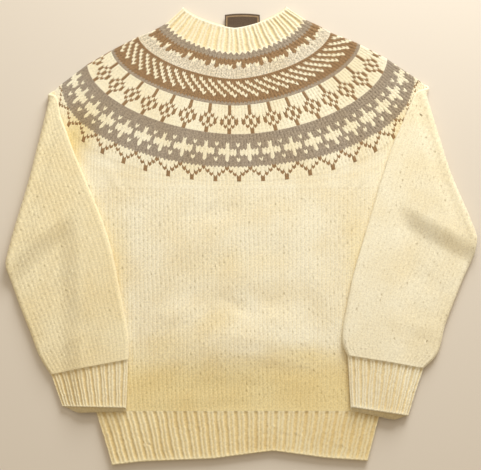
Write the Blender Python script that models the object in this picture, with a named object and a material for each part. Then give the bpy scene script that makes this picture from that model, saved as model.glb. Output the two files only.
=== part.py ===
"""A hand-knitted pullover with a round yoke, laid flat with both sleeves folded over its front.

It is drafted in millimetres on the surface it lies on: x runs to the right of the plan, y from the
hem to the neck, z up from the surface. Every knitted piece is a flattened tube, with a front and a
back wall that meet in a rounded edge at each side and a thin slit between them. The pieces end
0.3 mm apart where one was knitted on to the next. The ribs of the neckband, cuffs and hem are raised
in the outer points of the upper wall, over a plain inside.
"""

import math

import bmesh
import bpy
import numpy as np

MM = 0.001

# Thicknesses
WALL = 3.0
SLIT = 1.2
LAYER = 2 * WALL + SLIT
NECK_SLIT = 2.4
NECK_LAYER = 2 * WALL + NECK_SLIT
SEAM_GAP = 0.3
STACK_GAP = 0.4
MOST_SLIT = 3.5
LEAST_RADIUS = 0.4

# The plan's middle, which becomes the model's origin
MIDDLE_X = 2.09
MIDDLE_Y = 349.42

# Shoulder tips, where the yoke's side folds end, and underarms, where body, yoke and sleeves meet
LEFT_TIP = (-290.0, 560.0)
RIGHT_TIP = (286.5, 570.0)
LEFT_UNDERARM = (-232.0, 405.0)
RIGHT_UNDERARM = (219.0, 405.0)
JOIN_MIDDLE_Y = 402.0
ARMHOLE_BULGE = 13.0

# Rings of the yoke, each an arc from its left fold edge to its right one. A power of 2 is an ellipse.
YOKE_COLUMNS = ("rows_down", "left_x", "left_y", "right_x", "right_y", "middle_y", "power")
YOKE_RINGS = (
    (0, -118, 674, 102, 681, 620, 1.60),
    (4, -142, 659, 126, 669, 601, 1.60),
    (8, -162, 651, 143, 658, 578, 1.62),
    (17, -200, 630, 185, 640, 539, 1.66),
    (27, -241, 604, 231, 613, 487, 1.78),
    (38, -280, 571, 273, 582, 435, 1.98),
    (43, -287, 564, 282, 575, 411, 2.15),
)
YOKE_ROWS = 45
NECK_FADE_ROWS = 13
YOKE_SECTIONS = (0, 4, 8, 13, 20, 27, 33, 38, 43, 45)
ARMHOLE_SHARE = 0.212
ARMHOLE_SPANS = 7
FRONT_SPANS = 16

# The neckband's upper edge, and how far the back wall shows above the front one
BAND_TOP = (-92, 700, 74, 701, 664, 1.40)
BAND_RISE = 4.0
BAND_RIBS = 16
BAND_SPANS = 24

# Body: its side edges at heights up the plan, from the yoke to the top of the hem rib
BODY_COLUMNS = ("y", "left_x", "right_x")
BODY_SECTIONS = (
    (404, -232, 219),
    (300, -226, 214),
    (200, -219, 209),
    (120, -214, 206),
    (70, -209, 202),
)
BODY_RINGS = 14
BODY_SPANS = 20

# Hem rib: its bottom edge dips and rises across the front
HEM_COLUMNS = ("x", "y")
HEM_EDGE = ((-183, -5), (-141, 0), (-40, 4), (46, 15), (121, 5), (181, 1))
HEM_RIBS = 28
HEM_SPANS = 16

# Soft folds of the body: a compact swelling of the front wall and a smaller lift of the back wall
FOLD_COLUMNS = ("x", "y", "half_length", "half_width", "turn", "swell", "lift")
BODY_FOLDS = (
    (-2, 162, 176, 76, -2, 5.3, 3.0),
    (20, 262, 120, 40, 4, 1.0, 0.4),
    (-60, 318, 90, 46, 12, 1.1, 0.4),
    (66, 338, 86, 44, -14, 0.9, 0.4),
)

# Sleeves, drafted along their fold. Share runs from the armhole (0) to the cuff (1). Along is the
# distance down the crease from the shoulder tip, and out the distance past it (negative is the
# part under the fold), for the upper edge and for the underarm edge.
SLEEVE_COLUMNS = ("share", "upper_along", "upper_out", "lower_along", "lower_out")
LEFT_SLEEVE = (
    (0.00, 0, -4, 143, -86),
    (0.03, 9, 9, 152, -79),
    (0.06, 12, 19, 160, -73),
    (0.10, 36, 31, 172, -66),
    (0.20, 69, 55, 200, -46),
    (0.40, 144, 109, 258, -6),
    (0.60, 219, 157, 317, 29),
    (0.80, 301, 194, 374, 71),
    (0.93, 359, 218, 410, 97),
    (1.00, 386, 223, 428, 115),
)
RIGHT_SLEEVE = (
    (0.00, 0, -4, 146, -106),
    (0.03, 9, 10, 153, -99),
    (0.06, 12, 24, 161, -91),
    (0.10, 24, 37, 171, -80),
    (0.20, 58, 73, 197, -52),
    (0.40, 135, 128, 248, 4),
    (0.50, 174, 152, 282, 22),
    (0.60, 213, 176, 310, 47),
    (0.80, 293, 222, 368, 94),
    (0.94, 360, 250, 411, 123),
    (1.00, 378, 248, 422, 143),
)
LEFT_CUFF_END = (454, 235, 469, 142)
RIGHT_CUFF_END = (450, 263, 482, 184)
LEFT_FOLD_TURN = 10.6
RIGHT_FOLD_TURN = 13.6
LEFT_FOLD_BOW = 4.5
RIGHT_FOLD_BOW = 10.5
FOLD_START = 4.0
FOLD_RADIUS = 1.5
SLEEVE_PUFF = 2.2
PUFF_START = 19.0
PUFF_FADE = 30.0
ELBOW_SHARE = 0.4

# Rings of a sleeve: fanned out from the tip up to the fold, level through it, then on to the cuff
UNDER_RINGS = (0.0, 0.35, 0.7)
BEND_RINGS = 5
OVER_RINGS = (0.04, 0.09, 0.16, 0.25, 0.35, 0.46, 0.58, 0.70, 0.82, 0.93, 1.0)
SLEEVE_SPANS = 13
CUFF_BACK_REACH = 10.0
REACH_RISE = 0.3
REACH_FADE = 0.55
CUFF_RIBS = 10
CUFF_SPANS = 10

# How the fold's bow fades: from the armhole, down the arm, under the fold and over it
BOW_FADES = (3.0, 18.0), (130.0, 130.0), (0.0, 18.0), (16.0, 70.0)

# Where a sleeve leaves what carries it, it comes down to the surface over this distance
REST_MARGIN = 12.0
REST_SLOPE = 34.0

# Ribs, as shares of one rib's width, from one hollow to the next, and the height of each point
RIB_COLUMNS = ("share", "height")
RIB_PROFILE = ((0.0, 0.0), (0.18, 0.85), (0.34, 1.0), (0.5, 0.72), (0.66, 1.0), (0.82, 0.85))
RIB_DEPTH = 1.4
RIB_EDGE = 6.5

# Neck label, which stands up out of the slit between the neckband's walls
LABEL_LEFT, LABEL_RIGHT = -25.0, 31.0
LABEL_BOTTOM, LABEL_TOP = 651.0, 688.0
LABEL_ARCH = 2.2
LABEL_THICKNESS = 0.9
LABEL_SPANS = 8

EDGE_SHARES = (0.0, 0.3, 1.0)
DENSE = 241

COLOURS = {
    "cream_wool": (0.86, 0.76, 0.52, 1.0),
    "yoke_wool": (0.48, 0.37, 0.25, 1.0),
    "label_cloth": (0.18, 0.11, 0.055, 1.0),
}


def ease(x):
    """A smooth step from 0 to 1."""
    x = np.clip(x, 0.0, 1.0)
    return x * x * (3 - 2 * x)


def spread(points, count=DENSE):
    """The same path as evenly spaced points."""
    points = np.asarray(points, float)
    steps = np.hypot(*np.diff(points, axis=0).T)
    walked = np.concatenate(([0.0], np.cumsum(steps)))
    at = np.linspace(0, walked[-1], count)
    return np.column_stack([np.interp(at, walked, points[:, k]) for k in (0, 1)])


def path_length(path):
    """How long a path is."""
    return np.hypot(*np.diff(path, axis=0).T).sum()


def path_at(path, shares):
    """Points of an evenly spaced path at shares of its length."""
    at = np.asarray(shares) * (len(path) - 1)
    return np.column_stack([np.interp(at, np.arange(len(path)), path[:, k]) for k in (0, 1)])


def arc(left_x, left_y, right_x, right_y, middle_y, power):
    """A sagging arc from a left fold edge to a right one, each half a quarter of a superellipse."""
    middle_x = (left_x + right_x) / 2
    turn = np.linspace(0, math.pi / 2, DENSE)
    across = np.sin(turn) ** (2 / power)
    down = np.cos(turn) ** (2 / power)
    left, right = (
        np.column_stack([middle_x + (x - middle_x) * across, y + (middle_y - y) * down])
        for x, y in ((left_x, left_y), (right_x, right_y))
    )
    return spread(np.concatenate([left[::-1], right[1:]]))


def armhole(tip, underarm, side):
    """The seam between yoke and sleeve, bowed outwards. side is -1 for the left, 1 for the right."""
    tip, underarm = np.array(tip), np.array(underarm)
    run = underarm - tip
    outward = side * np.array([-run[1], run[0]]) / np.hypot(*run)
    if outward[0] * side < 0:
        outward = -outward
    t = np.linspace(0, 1, DENSE)[:, None]
    return tip + run * t + outward * ARMHOLE_BULGE * 4 * t * (1 - t)


def join_line(count=DENSE):
    """The seam between yoke and body, from one underarm to the other."""
    t = np.linspace(0, 1, count)
    x = LEFT_UNDERARM[0] + (RIGHT_UNDERARM[0] - LEFT_UNDERARM[0]) * t
    sag = (JOIN_MIDDLE_Y - LEFT_UNDERARM[1]) * 4 * t * (1 - t)
    return np.column_stack([x, LEFT_UNDERARM[1] + sag])


def yoke_outer_edge():
    """The yoke's outermost ring: left armhole, join to the body, right armhole, each an even share."""
    left = spread(armhole(LEFT_TIP, LEFT_UNDERARM, -1))
    right = spread(armhole(RIGHT_TIP, RIGHT_UNDERARM, 1))[::-1]
    shares = np.linspace(0, 1, DENSE)
    points = np.empty((DENSE, 2))
    for low, high, path in (
        (0.0, ARMHOLE_SHARE, left),
        (ARMHOLE_SHARE, 1 - ARMHOLE_SHARE, join_line()),
        (1 - ARMHOLE_SHARE, 1.0, right),
    ):
        here = (shares >= low) & (shares <= high)
        points[here] = path_at(path, (shares[here] - low) / (high - low))
    return points


def yoke_ring(rows_down):
    """The yoke's ring at this many rows below the neckband, between the rings of the table."""
    table = np.array(YOKE_RINGS, float)
    if rows_down <= table[-1, 0]:
        return arc(*(np.interp(rows_down, table[:, 0], column) for column in table[:, 1:].T))
    share = (rows_down - table[-1, 0]) / (YOKE_ROWS - table[-1, 0])
    return arc(*table[-1, 1:]) * (1 - share) + yoke_outer_edge() * share


def yoke_shares():
    """Where the yoke is sampled across, with a sample at each underarm."""
    side = np.linspace(0, ARMHOLE_SHARE, ARMHOLE_SPANS + 1)
    front = np.linspace(ARMHOLE_SHARE, 1 - ARMHOLE_SHARE, FRONT_SPANS + 1)
    return np.concatenate([side[1:], front[1:-1], 1 - side[:0:-1]])


def rounded(distance, length, radius):
    """Half the thickness of a flattened tube at a distance across it, as a share, 0 at its edges."""
    near = np.clip(np.minimum(distance, length - distance) / radius, 0, 1)
    return np.sqrt(1 - (1 - near) ** 2)


def across(shares, length, inset, radius):
    """Distances across a ring: its rounded edges, and the given shares between them."""
    edge = inset + radius * np.array(EDGE_SHARES)
    return np.concatenate([edge, np.asarray(shares) * length, length - edge[::-1]])


def ring_loop(front, back, shares, back_shares, heights, inset=0.0, relief=None):
    """One closed loop of a flattened tube: over its front wall, and back under its back wall.

    heights gives (low, high) for plan points, and relief what is taken off the front wall.
    """
    length = path_length(front)
    middle_low, middle_high = heights(path_at(front, [0.5]))
    radius = max(LEAST_RADIUS, float(middle_high[0] - middle_low[0]) / 2)
    loop = []
    for path, given, upper in ((front, shares, True), (back, back_shares, False)):
        distances = across(given, length, inset, radius)
        plan = path_at(path, distances / length)
        low, high = heights(plan)
        share = rounded(distances - inset, length - 2 * inset, radius)
        middle, half = (low + high) / 2, (high - low) / 2
        z = middle + half * share * (1 if upper else -1)
        if relief is not None and upper:
            z = z - relief(distances / length) * share
        points = np.column_stack([plan, z])
        loop.append(points if upper else points[-2:0:-1])
    return np.concatenate(loop)


def even_shares(spans):
    """Even places across a wall, without its edges."""
    return np.linspace(0, 1, spans + 1)[1:-1]


def ribs(count, length):
    """Where a ribbed wall of this length is sampled across, and how far its outer points lie
    below the top of the ribs there."""
    plain = RIB_EDGE / length
    shares, heights = (list(column) for column in zip(*RIB_PROFILE))
    places = [(k + share) / count for k in range(count) for share in shares] + [1.0]

    def relief(at):
        rib = (np.asarray(at) - plain) / (1 - 2 * plain) * count
        depth = RIB_DEPTH * (1 - np.interp(rib % 1.0, shares + [1.0], heights + [0.0]))
        return np.where((rib < 0) | (rib > count), 0.0, depth)

    return plain + (1 - 2 * plain) * np.array(places), relief


def rim(outer, inner, outer_places, inner_places):
    """Triangles between two closed loops of vertex numbers, by the places of their points round."""
    faces, i, j = [], 0, 0
    while i < len(outer) or j < len(inner):
        here = (outer[i % len(outer)], inner[j % len(inner)])
        if j == len(inner) or (i < len(outer) and outer_places[i + 1] <= inner_places[j + 1]):
            i += 1
            faces.append((*here, outer[i % len(outer)]))
        else:
            j += 1
            faces.append((*here, inner[j % len(inner)]))
    return faces


def places_round(loop):
    """How far round its closed loop each point lies, as a share, with 1 at the end."""
    closed = np.concatenate([loop, loop[:1]])
    steps = np.linalg.norm(np.diff(closed[:, :2], axis=0), axis=1) + 1e-6
    walked = np.concatenate(([0.0], np.cumsum(steps)))
    return walked / walked[-1]


def tube(outer_rings, inner_rings):
    """The points and faces of a tube with real walls, open at both ends, from its rings of points."""
    points, faces, skins = [], [], []
    for rings in (outer_rings, inner_rings):
        count = len(rings[0])
        loops = []
        for ring in rings:
            loops.append([len(points) + k for k in range(count)])
            points.extend(ring)
        for a, b in zip(loops, loops[1:]):
            faces.extend((a[k - 1], b[k - 1], b[k], a[k]) for k in range(count))
        skins.append(loops)
    for end in (0, -1):
        places = places_round(outer_rings[end]), places_round(inner_rings[end])
        faces.extend(rim(skins[0][end], skins[1][end], *places))
    return np.array(points), faces


def add_piece(name, points, faces, colour):
    """One garment piece as its own object, in metres about the garment's middle."""
    points = (np.asarray(points) - (MIDDLE_X, MIDDLE_Y, 0.0)) * MM
    mesh = bpy.data.meshes.new(name)
    mesh.from_pydata(points.tolist(), [], faces)
    shape = bmesh.new()
    shape.from_mesh(mesh)
    bmesh.ops.recalc_face_normals(shape, faces=shape.faces)
    if shape.calc_volume(signed=True) < 0:
        bmesh.ops.reverse_faces(shape, faces=shape.faces)
    shape.to_mesh(mesh)
    shape.free()
    mesh.shade_smooth()
    mesh.set_sharp_from_angle(angle=math.radians(40))
    mesh.materials.append(material(colour))
    piece = bpy.data.objects.new(name, mesh)
    bpy.context.scene.collection.objects.link(piece)
    return piece


def material(name):
    """A plain wool or cloth colour."""
    made = bpy.data.materials.get(name)
    if made is None:
        made = bpy.data.materials.new(name)
        made.use_nodes = True
        shader = made.node_tree.nodes["Principled BSDF"]
        shader.inputs["Base Color"].default_value = COLOURS[name]
        shader.inputs["Roughness"].default_value = 0.9
        shader.inputs["Metallic"].default_value = 0.0
    return made


def level(low, high):
    """Heights of a piece that lies flat."""

    def heights(plan):
        return np.full(len(plan), float(low)), np.full(len(plan), float(high))

    return heights


def body_heights(plan):
    """Heights of the body's two walls, with its folds."""
    low = np.zeros(len(plan))
    high = np.full(len(plan), LAYER)
    for x, y, half_length, half_width, turn, swell, lift in BODY_FOLDS:
        angle = math.radians(turn)
        off = plan - (x, y)
        along = off[:, 0] * math.cos(angle) + off[:, 1] * math.sin(angle)
        beside = off[:, 1] * math.cos(angle) - off[:, 0] * math.sin(angle)
        share = ease(1 - np.abs(along) / half_length) * ease(1 - np.abs(beside) / half_width)
        low += lift * share
        high += swell * share
    return low, np.minimum(high, low + 2 * WALL + MOST_SLIT)


def inside(heights):
    """Heights of the slit inside a piece, a wall's thickness in from its outer heights."""

    def inner(plan):
        low, high = heights(plan)
        return low + WALL, high - WALL

    return inner


def body_side(y, column):
    """x of the body's left (1) or right (2) edge at a height up the plan."""
    table = np.array(BODY_SECTIONS, float)[::-1]
    return np.interp(y, table[:, 0], table[:, column])


def make_yoke():
    """The yoke, from the neckband to the two armholes and the body."""
    shares = yoke_shares()
    outer, inner = [], []
    for rows in YOKE_SECTIONS:
        path = yoke_ring(rows)
        thick = LAYER + (NECK_LAYER - LAYER) * ease(1 - rows / NECK_FADE_ROWS)
        heights = level(0, thick)
        outer.append(ring_loop(path, path, shares, shares, heights))
        inner.append(ring_loop(path, path, shares, shares, inside(heights), WALL))
    points, faces = tube(outer, inner)
    return add_piece("yoke", points, faces, "yoke_wool")


def make_neckband():
    """The ribbed neckband, whose back wall shows a little above the front one."""
    low, high = yoke_ring(0), arc(*BAND_TOP)
    shares, relief = ribs(BAND_RIBS, path_length(high))
    plain = even_shares(BAND_SPANS)
    heights = level(0, NECK_LAYER)
    span = path_at(high, [0.5])[0, 1] - path_at(low, [0.5])[0, 1]
    outer, inner = [], []
    for share in (SEAM_GAP / span, 0.5, 1.0):
        front = low * (1 - share) + high * share
        back = front + (0.0, BAND_RISE * share)
        outer.append(ring_loop(front, back, shares, plain, heights, relief=relief))
        inner.append(ring_loop(front, back, plain, plain, inside(heights), WALL))
    points, faces = tube(outer, inner)
    return add_piece("neckband", points, faces, "cream_wool")


def body_path(share):
    """A row of the body: share 0 is the join to the yoke, share 1 the top of the hem rib."""
    top = join_line() - (0.0, SEAM_GAP)
    hem_y = BODY_SECTIONS[-1][0]
    y = top[:, 1] * (1 - share) + hem_y * share
    left, right = body_side(y.mean(), 1), body_side(y.mean(), 2)
    t = np.linspace(0, 1, DENSE)
    return np.column_stack([left + (right - left) * t, y])


def make_body():
    """The body tube, from the yoke to the hem rib."""
    shares = even_shares(BODY_SPANS)
    outer, inner = [], []
    for k in range(BODY_RINGS):
        path = body_path(k / (BODY_RINGS - 1))
        outer.append(ring_loop(path, path, shares, shares, body_heights))
        inner.append(ring_loop(path, path, shares, shares, inside(body_heights), WALL))
    points, faces = tube(outer, inner)
    return add_piece("body", points, faces, "cream_wool")


def make_hem_rib():
    """The ribbed hem, narrowing to its uneven bottom edge."""
    edge_x, edge_y = zip(*HEM_EDGE)
    top = body_path(1.0) - (0.0, SEAM_GAP)
    t = np.linspace(0, 1, DENSE)
    bottom_x = edge_x[0] + (edge_x[-1] - edge_x[0]) * t
    bottom = np.column_stack([bottom_x, np.interp(bottom_x, edge_x, edge_y)])
    shares, relief = ribs(HEM_RIBS, path_length(bottom))
    plain = even_shares(HEM_SPANS)
    heights = level(0, LAYER)
    outer, inner = [], []
    for share in (0.0, 0.5, 1.0):
        path = top * (1 - share) + bottom * share
        outer.append(ring_loop(path, path, shares, plain, heights, relief=relief))
        inner.append(ring_loop(path, path, plain, plain, inside(heights), WALL))
    points, faces = tube(outer, inner)
    return add_piece("hem_rib", points, faces, "cream_wool")


class Sleeve:
    """One sleeve's draft, and the fold that lays it over the garment's front."""

    def __init__(self, side, tip, underarm, turn, bow, sections, cuff_end):
        self.side = side
        self.bow = bow
        self.underarm = np.array(underarm)
        self.sections = np.array(sections, float)
        self.cuff_end = np.array(cuff_end, float)
        angle = math.radians(turn)
        self.down = np.array([side * math.sin(angle), -math.cos(angle)])
        self.out = np.array([side * math.cos(angle), math.sin(angle)])
        self.tip = np.array(tip) + self.out * (SEAM_GAP + FOLD_START)
        self.neutral = LAYER / 2 + FOLD_RADIUS
        self.bend = math.pi * self.neutral
        elbow = self.tip + self.down * self.edges(ELBOW_SHARE)[1][0]
        self.under_edge = (self.underarm, elbow)

    def edges(self, share):
        """(upper, lower) edge points in the draft at a share of the way from armhole to cuff."""
        at, table = self.sections[:, 0], self.sections[:, 1:]
        slopes = np.gradient(table, at, axis=0)
        k = min(np.searchsorted(at, share, side="right"), len(at) - 1) - 1
        span = at[k + 1] - at[k]
        t = (share - at[k]) / span
        row = (
            table[k] * (2 * t**3 - 3 * t**2 + 1)
            + slopes[k] * span * (t**3 - 2 * t**2 + t)
            + table[k + 1] * (3 * t**2 - 2 * t**3)
            + slopes[k + 1] * span * (t**3 - t**2)
        )
        return row[:2], row[2:]

    def ring_shares(self):
        """(upper share, lower share) of each ring's two ends."""
        at = np.linspace(0, 1, DENSE)
        outs = np.array([[edge[1] for edge in self.edges(share)] for share in at])
        turns = np.linspace(0, self.bend, BEND_RINGS)
        through = np.column_stack([np.interp(turns, outs[:, k], at) for k in (0, 1)])
        under = [through[0] * share for share in UNDER_RINGS]
        over = [through[-1] + (1 - through[-1]) * share for share in OVER_RINGS]
        return np.concatenate([under, through, over])

    def rings(self):
        """The sleeve's rings in the draft. The armhole's bulge fades out before the fold."""
        for k, (upper, lower) in enumerate(self.ring_shares()):
            bulge = 1 - UNDER_RINGS[k] if k < len(UNDER_RINGS) else 0.0
            yield self.row_path(self.edges(upper)[0], self.edges(lower)[1], bulge)

    def row_path(self, upper, lower, bulge=0.0):
        """A row from its upper end to its lower one, bulging away from the armhole."""
        run = lower - upper
        normal = np.array([-run[1], run[0]]) / np.hypot(*run)
        if normal @ (1.0, 1.0) < 0:
            normal = -normal
        t = np.linspace(0, 1, DENSE)[:, None]
        return upper + run * t + normal * ARMHOLE_BULGE * bulge * 4 * t * (1 - t)

    def support(self, plan):
        """1 where something lies under the sleeve's upper part, down to 0 on the bare surface."""
        start, end = self.under_edge
        run = (end - start) / np.hypot(*(end - start))
        past = (plan - start) @ (np.array([-run[1], run[0]]) * -self.side)
        column = 1 if self.side < 0 else 2
        beside = (plan[:, 0] - body_side(plan[:, 1], column)) * self.side
        clear = [ease((distance - REST_MARGIN) / REST_SLOPE) for distance in (past, beside)]
        return 1 - clear[0] * clear[1]

    def bowed(self, along, out):
        """How far the fold lies inside a straight line there."""
        lower = self.edges(0)[1]
        from_armhole = (along * -lower[1] + out * lower[0]) / np.hypot(*lower)
        placed = from_armhole, along, -out, out
        faded = [ease((at - start) / over) for at, (start, over) in zip(placed, BOW_FADES)]
        bow = FOLD_START + self.bow * (1 - faded[1])
        return bow * faded[0] * (1 - faded[2]) * (1 - faded[3])

    def laid(self, points):
        """Draft points (along, out, height in the flat sleeve) folded over and laid down."""
        along, out, z = points.T
        axis = LAYER + FOLD_RADIUS
        reach = axis - z
        turn = np.clip(out / self.neutral, 0, math.pi)
        offset = np.minimum(out, 0) + reach * np.sin(turn) - np.maximum(out - self.bend, 0)
        offset = offset - self.bowed(along, out)
        height = axis - reach * np.cos(turn)
        plan = self.tip + along[:, None] * self.down + offset[:, None] * self.out
        carried = (LAYER + STACK_GAP) * self.support(plan)
        settled = ease(out / (2 * self.bend))
        height = height - (LAYER + 2 * FOLD_RADIUS - carried) * settled
        return np.column_stack([plan, height])

    def heights(self, path):
        """Heights of the flat sleeve's walls. The one that ends on top is puffed out a little."""
        puff = SLEEVE_PUFF * ease((path[:, 1] - PUFF_START) / PUFF_FADE)
        return -puff, np.full(len(path), LAYER)


def make_sleeve(name, sleeve):
    """A sleeve from the armhole to the cuff."""
    shares = even_shares(SLEEVE_SPANS)
    outer, inner = [], []
    for path in sleeve.rings():
        outer.append(ring_loop(path, path, shares, shares, sleeve.heights))
        inner.append(ring_loop(path, path, shares, shares, inside(sleeve.heights), WALL))
    points, faces = tube(outer, inner)
    return add_piece(name, sleeve.laid(points), faces, "cream_wool")


def back_reach():
    """How far a cuff's lower wall reaches past its upper one: most near the fold, less further in."""
    from_fold = np.linspace(1, 0, DENSE)[:, None]
    return CUFF_BACK_REACH * ease(from_fold / REACH_RISE) * (1 - REACH_FADE * from_fold)


def make_cuff(name, sleeve):
    """A ribbed cuff. Its ribs are on the wall that ends on top, and the wall below reaches further."""
    start = np.concatenate(sleeve.edges(1.0))
    end = sleeve.cuff_end
    length = np.hypot(*(end - start)[:2])
    shares, relief = ribs(CUFF_RIBS, np.hypot(*(end[2:] - end[:2])))
    plain = even_shares(CUFF_SPANS)
    heights = level(0, LAYER)
    outer, inner = [], []
    for share in (SEAM_GAP / length, 0.5, 1.0):
        row = start * (1 - share) + end * share
        path = sleeve.row_path(row[:2], row[2:])
        further = path + (end - start)[:2] / length * back_reach() * share
        outer.append(ring_loop(path, further, shares, plain, heights, relief=relief))
        inner.append(ring_loop(path, further, plain, plain, inside(heights), WALL))
    points, faces = tube(outer, inner)
    points[:, 2] = LAYER - points[:, 2]  # built ribs up, and the fold turns it over
    return add_piece(name, sleeve.laid(points), faces, "cream_wool")


def make_neck_label():
    """The woven label: a thin plate with an arched top, its foot in the slit of the neckband."""
    t = np.linspace(0, 1, LABEL_SPANS + 1)
    x = LABEL_LEFT + (LABEL_RIGHT - LABEL_LEFT) * t
    top = np.column_stack([x, LABEL_TOP + LABEL_ARCH * 4 * t * (1 - t)])
    bottom = np.column_stack([x, np.full(len(x), LABEL_BOTTOM)])
    outline = np.concatenate([bottom, top[::-1]])
    low = WALL + SEAM_GAP
    count = len(outline)
    points = [(*p, z) for z in (low, low + LABEL_THICKNESS) for p in outline]
    faces = [(k, (k + 1) % count, count + (k + 1) % count, count + k) for k in range(count)]
    for k in range(LABEL_SPANS):
        quad = (k, k + 1, count - 2 - k, count - 1 - k)
        faces.append(quad[::-1])
        faces.append(tuple(count + corner for corner in quad))
    return add_piece("neck_label", points, faces, "label_cloth")


def main():
    for old in list(bpy.data.objects):
        bpy.data.objects.remove(old, do_unlink=True)
    left = Sleeve(-1, LEFT_TIP, LEFT_UNDERARM, LEFT_FOLD_TURN, LEFT_FOLD_BOW, LEFT_SLEEVE, LEFT_CUFF_END)
    right = Sleeve(
        1, RIGHT_TIP, RIGHT_UNDERARM, RIGHT_FOLD_TURN, RIGHT_FOLD_BOW, RIGHT_SLEEVE, RIGHT_CUFF_END
    )
    make_yoke()
    make_neckband()
    make_body()
    make_hem_rib()
    make_sleeve("sleeve_left", left)
    make_sleeve("sleeve_right", right)
    make_cuff("cuff_left", left)
    make_cuff("cuff_right", right)
    make_neck_label()


main()
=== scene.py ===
"""Knits the laid-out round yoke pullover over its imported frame, stitch by stitch.

Every knitted piece is a thin shell on its solid's form: an outer skin of raised stitches, a plain
skin inside the wall, and a rim at each open end. The draft is in millimetres, x to the right of the
plan and y from the hem to the neck, and becomes metres about the garment's middle.
"""

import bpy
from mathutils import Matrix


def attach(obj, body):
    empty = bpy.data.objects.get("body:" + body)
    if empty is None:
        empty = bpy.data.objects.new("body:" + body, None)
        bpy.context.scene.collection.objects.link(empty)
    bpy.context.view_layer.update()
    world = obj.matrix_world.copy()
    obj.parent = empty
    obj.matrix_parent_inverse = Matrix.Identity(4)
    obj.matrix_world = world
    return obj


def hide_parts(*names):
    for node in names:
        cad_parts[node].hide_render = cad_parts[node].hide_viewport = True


bl_info = {
    "name": "Round Yoke Pullover",
    "version": (1, 0, 0),
    "blender": (4, 5, 0),
    "location": "View3D > Sidebar > Pullover",
    "description": "Knits a round yoke pullover, laid flat with its sleeves folded over",
    "category": "Object",
}

import math

import bpy
import numpy as np
from mathutils import Vector

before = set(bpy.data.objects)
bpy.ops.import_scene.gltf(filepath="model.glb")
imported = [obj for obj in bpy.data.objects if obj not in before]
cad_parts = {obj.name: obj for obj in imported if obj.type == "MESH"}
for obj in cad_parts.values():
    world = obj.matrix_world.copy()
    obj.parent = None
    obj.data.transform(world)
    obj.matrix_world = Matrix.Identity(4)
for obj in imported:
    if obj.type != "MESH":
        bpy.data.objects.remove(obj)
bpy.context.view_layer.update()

MM = 0.001
MIDDLE = (2.09, 349.42, 0.0)

# Points along each path of a row
DENSE = 241

# Walls and layers
WALL = 3.0
LAYER = 7.2
NECK_LAYER = 8.4
SEAM_GAP = 0.3
STACK_GAP = 0.4
MOST_SLIT = 3.5

# Shoulder tips, underarms and the seams between them
LEFT_TIP = (-290.0, 560.0)
RIGHT_TIP = (286.5, 570.0)
LEFT_UNDERARM = (-232.0, 405.0)
RIGHT_UNDERARM = (219.0, 405.0)
JOIN_MIDDLE_Y = 402.0
ARMHOLE_BULGE = 13.0

# rows_down, left_x, left_y, right_x, right_y, middle_y, power
YOKE_RINGS = (
    (0, -118, 674, 102, 681, 620, 1.60),
    (4, -142, 659, 126, 669, 601, 1.60),
    (8, -162, 651, 143, 658, 578, 1.62),
    (17, -200, 630, 185, 640, 539, 1.66),
    (27, -241, 604, 231, 613, 487, 1.78),
    (38, -280, 571, 273, 582, 435, 1.98),
    (43, -287, 564, 282, 575, 411, 2.15),
)
YOKE_ROWS = 45
YOKE_WIDER_MIDDLE = 0.09
NECK_FADE_ROWS = 13
BAND_TOP = (-92, 700, 74, 701, 664, 1.40)
BAND_RISE = 4.0

# y, left_x, right_x
BODY_SECTIONS = (
    (404, -232, 219),
    (300, -226, 214),
    (200, -219, 209),
    (120, -214, 206),
    (70, -209, 202),
)
HEM_EDGE = ((-183, -5), (-141, 0), (-40, 4), (46, 15), (121, 5), (181, 1))

# x, y, half_length, half_width, turn, swell, lift
BODY_FOLDS = (
    (-2, 162, 176, 76, -2, 5.3, 3.0),
    (20, 262, 120, 40, 4, 1.0, 0.4),
    (-60, 318, 90, 46, 12, 1.1, 0.4),
    (66, 338, 86, 44, -14, 0.9, 0.4),
)

# share, upper_along, upper_out, lower_along, lower_out
LEFT_SLEEVE = (
    (0.00, 0, -4, 143, -86),
    (0.03, 9, 9, 152, -79),
    (0.06, 12, 19, 160, -73),
    (0.10, 36, 31, 172, -66),
    (0.20, 69, 55, 200, -46),
    (0.40, 144, 109, 258, -6),
    (0.60, 219, 157, 317, 29),
    (0.80, 301, 194, 374, 71),
    (0.93, 359, 218, 410, 97),
    (1.00, 386, 223, 428, 115),
)
RIGHT_SLEEVE = (
    (0.00, 0, -4, 146, -106),
    (0.03, 9, 10, 153, -99),
    (0.06, 12, 24, 161, -91),
    (0.10, 24, 37, 171, -80),
    (0.20, 58, 73, 197, -52),
    (0.40, 135, 128, 248, 4),
    (0.50, 174, 152, 282, 22),
    (0.60, 213, 176, 310, 47),
    (0.80, 293, 222, 368, 94),
    (0.94, 360, 250, 411, 123),
    (1.00, 378, 248, 422, 143),
)
# side, tip, underarm, fold's turn, fold's bow, sections, cuff end
SLEEVES = {
    "left": (-1, LEFT_TIP, LEFT_UNDERARM, 10.6, 4.5, LEFT_SLEEVE, (454, 235, 469, 142)),
    "right": (1, RIGHT_TIP, RIGHT_UNDERARM, 13.6, 10.5, RIGHT_SLEEVE, (450, 263, 482, 184)),
}
FOLD_START = 4.0
FOLD_RADIUS = 1.5
SLEEVE_PUFF = 2.2
PUFF_START = 19.0
PUFF_FADE = 30.0
ELBOW_SHARE = 0.4
CUFF_BACK_REACH = 10.0
REACH_RISE = 0.3
REACH_FADE = 0.55
BOW_FADES = (3.0, 18.0), (130.0, 130.0), (0.0, 18.0), (16.0, 70.0)
REST_MARGIN = 12.0
REST_SLOPE = 34.0

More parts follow.
